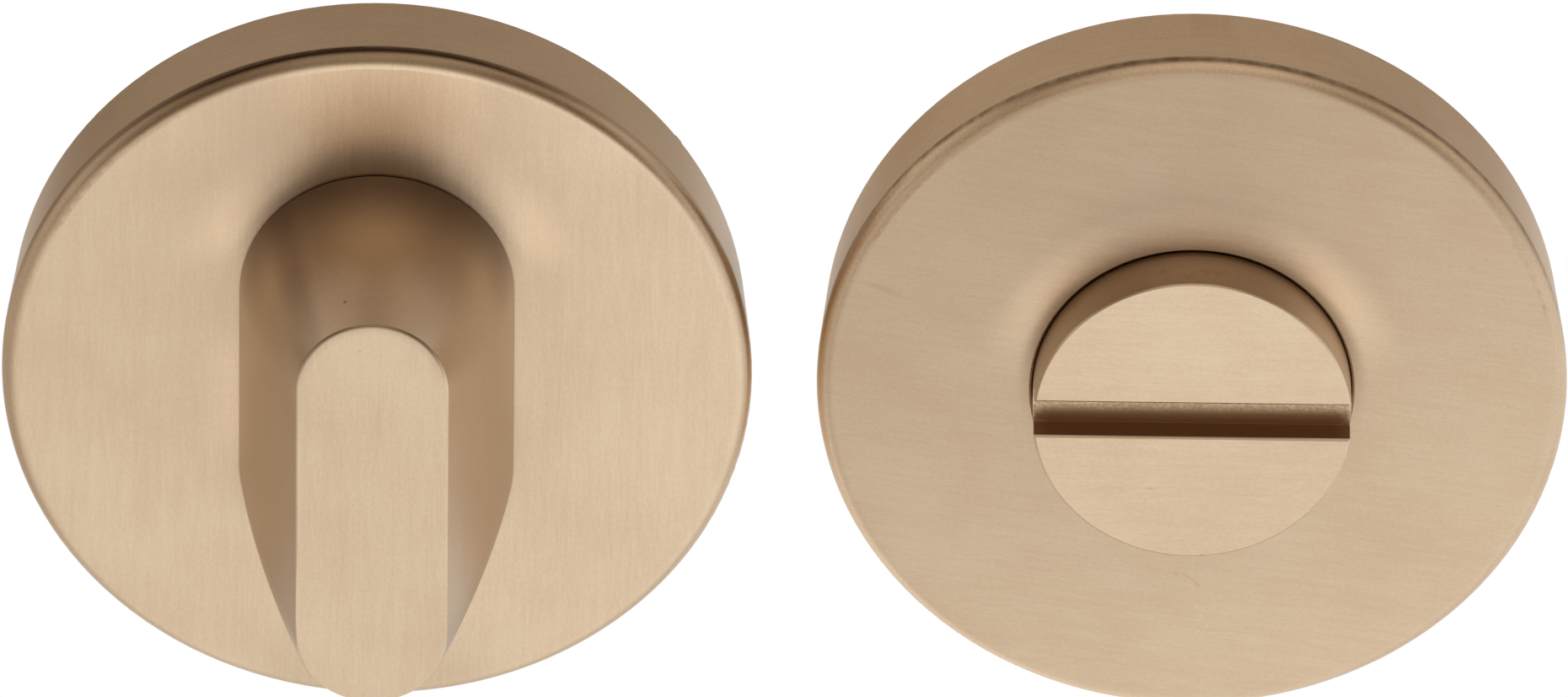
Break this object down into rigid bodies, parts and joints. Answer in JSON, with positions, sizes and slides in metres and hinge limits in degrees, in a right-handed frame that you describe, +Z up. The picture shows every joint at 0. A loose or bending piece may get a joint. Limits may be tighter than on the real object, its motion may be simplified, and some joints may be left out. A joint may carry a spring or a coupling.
{
  "type": "bathroom thumb turn lock",
  "caption": "Bathroom lock set: bar-shaped thumb turn on a round rose beside a coin-slotted emergency release on a like rose, with square spindle and connecting screws.",
  "frame": {"origin": "where the turn's axis meets the door's face, the plane of both roses' backs", "axes": "+Z up on the door, +X from the turn to the release across the pair, +Y into the door, so the fronts look along -Y"},
  "size_m": [0.1081, 0.06, 0.0518],
  "materials": {
    "satin_rose_metal": "brushed satin, rose-gold to light copper-bronze",
    "zinc_casting": "as-cast zinc alloy, dull grey",
    "nylon": "natural nylon",
    "spring_steel": "dark oiled spring steel",
    "plated_steel": "bright zinc-plated steel"
  },
  "bodies": {
    "roses": {"turn_rose_cover": "satin_rose_metal", "release_rose_cover": "satin_rose_metal", "turn_rose_base": "zinc_casting", "release_rose_base": "zinc_casting", "turn_bush": "nylon", "release_bush": "nylon", "turn_bow_washer": "spring_steel", "release_bow_washer": "spring_steel", "turn_thrust_washer": "plated_steel", "release_thrust_washer": "plated_steel", "turn_snap_ring": "spring_steel", "release_snap_ring": "spring_steel", "fixing_screw_left": "plated_steel", "fixing_screw_right": "plated_steel"},
    "turn": {"thumb_turn": "satin_rose_metal", "spindle": "plated_steel", "spindle_pin": "plated_steel", "turn_circlip": "spring_steel"},
    "release": {"release_disc": "satin_rose_metal", "release_circlip": "spring_steel"}
  },
  "joints": [
    {"name": "turn_rotation", "type": "hinge", "parent": "roses", "child": "turn", "pos_m": [0, 0, 0], "axis": [0, 1, 0], "range_deg": [-90, 90]},
    {"name": "release_rotation", "type": "hinge", "parent": "roses", "child": "release", "pos_m": [0.0563, 0, 0], "axis": [0, 1, 0], "range_deg": [-90, 90]}
  ]
}
